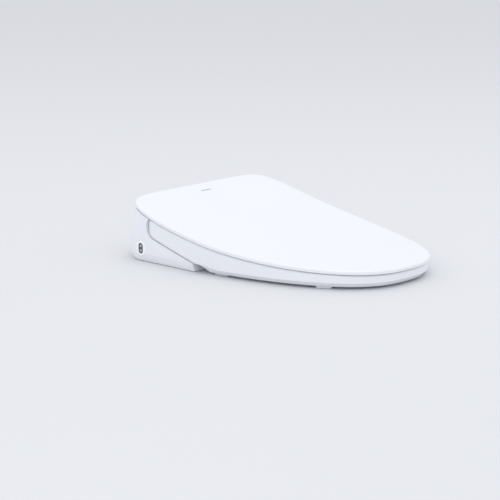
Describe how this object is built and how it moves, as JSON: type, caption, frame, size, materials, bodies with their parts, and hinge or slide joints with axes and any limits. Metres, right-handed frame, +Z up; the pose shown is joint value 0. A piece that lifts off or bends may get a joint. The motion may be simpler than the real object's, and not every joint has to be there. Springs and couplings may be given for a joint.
{
  "type": "electric bidet seat",
  "caption": "Low-profile electric bidet seat: soft-close lid and heated ring over a slide-on housing with wand, dryer, deodorizer and water inlet.",
  "frame": {"origin": "midway between the two mounting bolts, on the toilet bowl's rim plane", "axes": "-Y towards the seat's front, +Z up away from the bowl, +X to the seated user's left"},
  "size_m": [0.38, 0.5275, 0.1079],
  "materials": {
    "white_gloss": "glossy",
    "white_satin": "satin",
    "pale_plastic": "matt",
    "grey_plastic": "matt",
    "dark_plastic": "satin",
    "rubber": "matt",
    "steel": "brushed",
    "brass": "turned",
    "tank_plastic": "matt",
    "coil_blue": "glossy",
    "heating_foil": "foil",
    "board_green": "solder-masked",
    "amber_gear": "matt",
    "clear_lens": "glossy",
    "charcoal": "porous"
  },
  "bodies": {
    "base": {"base_plate": "white_satin", "plate_adjusters": "grey_plastic", "plate_pads": "rubber", "plate_catch": "grey_plastic"},
    "unit": {"lower_case": "white_satin", "upper_cover": "white_gloss", "cover_sides": "white_gloss", "cover_back": "white_gloss", "front_panel": "white_gloss", "rubber_feet": "rubber", "case_screws": "steel", "hinge_brackets": "grey_plastic", "hinge_pins": "steel", "lid_damper": "dark_plastic", "ring_damper": "dark_plastic", "wand_guide": "pale_plastic", "wand_motor": "grey_plastic", "heater_tank": "tank_plastic", "valve_block": "dark_plastic", "solenoids": "coil_blue", "water_inlet": "brass", "inlet_strainer": "grey_plastic", "vacuum_breaker": "pale_plastic", "water_hoses": "pale_plastic", "dryer_duct": "pale_plastic", "dryer_heater": "heating_foil", "blower_housing": "grey_plastic", "blower_motor": "grey_plastic", "deodorizer_case": "pale_plastic", "main_board": "board_green", "board_parts": "dark_plastic", "power_supply": "dark_plastic", "cord_gland": "dark_plastic", "button_bezel": "white_gloss", "side_board": "board_green", "button_switch": "dark_plastic", "release_spring": "steel"},
    "ring": {"seat_top": "white_gloss", "seat_base": "white_gloss", "seat_heater": "heating_foil", "seat_bumpers": "pale_plastic", "ring_arms": "white_satin"},
    "lid": {"lid_cover": "white_gloss", "lid_lugs": "white_satin", "lid_bumpers": "grey_plastic", "lid_badge": "grey_plastic"},
    "wand": {"wand_tube": "white_satin", "wand_rack": "pale_plastic", "nozzle_tip": "white_satin"},
    "pinion": {"wand_pinion": "amber_gear"},
    "side_key": {"side_button": "dark_plastic", "led_lenses": "clear_lens"},
    "release": {"release_button": "white_satin"},
    "flap": {"dryer_flap": "white_gloss"},
    "filter": {"filter_cartridge": "white_satin", "filter_core": "charcoal"},
    "blower": {"blower_rotor": "dark_plastic"},
    "deodorizer_fan": {"deodorizer_rotor": "dark_plastic"}
  },
  "joints": [
    {"name": "unit_slide", "type": "slide", "parent": "base", "child": "unit", "axis": [0, -1, 0], "range_m": [0, 0.025], "deforming": ["plate_catch"]},
    {"name": "ring_hinge", "type": "hinge", "parent": "unit", "child": "ring", "pos_m": [0, 0.031, 0.09274], "axis": [1, 0, 0], "range_deg": [-105, 0]},
    {"name": "lid_hinge", "type": "hinge", "parent": "ring", "child": "lid", "pos_m": [0, 0.031, 0.09274], "axis": [-1, 0, 0], "range_deg": [0, 105]},
    {"name": "wand_slide", "type": "slide", "parent": "unit", "child": "wand", "axis": [0, -0.9781, -0.2079], "range_m": [0, 0.066]},
    {"name": "pinion_spin", "type": "hinge", "parent": "unit", "child": "pinion", "pos_m": [0.0152, -0.05066, 0.02574], "axis": [0, -0.2079, 0.9781], "range_deg": [0, 545]},
    {"name": "side_button_press", "type": "slide", "parent": "unit", "child": "side_key", "axis": [1, 0, 0], "range_m": [0, 0.0015], "stiffness_N_per_m": 400},
    {"name": "release_press", "type": "slide", "parent": "unit", "child": "release", "axis": [-1, 0, 0], "range_m": [0, 0.004], "stiffness_N_per_m": 500, "deforming": ["release_spring"]},
    {"name": "flap_hinge", "type": "hinge", "parent": "unit", "child": "flap", "pos_m": [0.071, -0.0812, 0.0243], "axis": [-1, 0, 0], "range_deg": [0, 60]},
    {"name": "filter_slide", "type": "slide", "parent": "unit", "child": "filter", "axis": [1, 0, 0], "range_m": [0, 0.03]},
    {"name": "blower_spin", "type": "hinge", "parent": "unit", "child": "blower", "pos_m": [0.071, 0.012, 0.02], "axis": [0, 0, 1], "continuous": true},
    {"name": "fan_spin", "type": "hinge", "parent": "unit", "child": "deodorizer_fan", "pos_m": [0.1545, -0.048, 0.0183], "axis": [1, 0, 0], "continuous": true}
  ],
  "couplings": [
    {"joint": "pinion_spin", "follows": "wand_slide", "rad_per_m": 142.86}
  ]
}
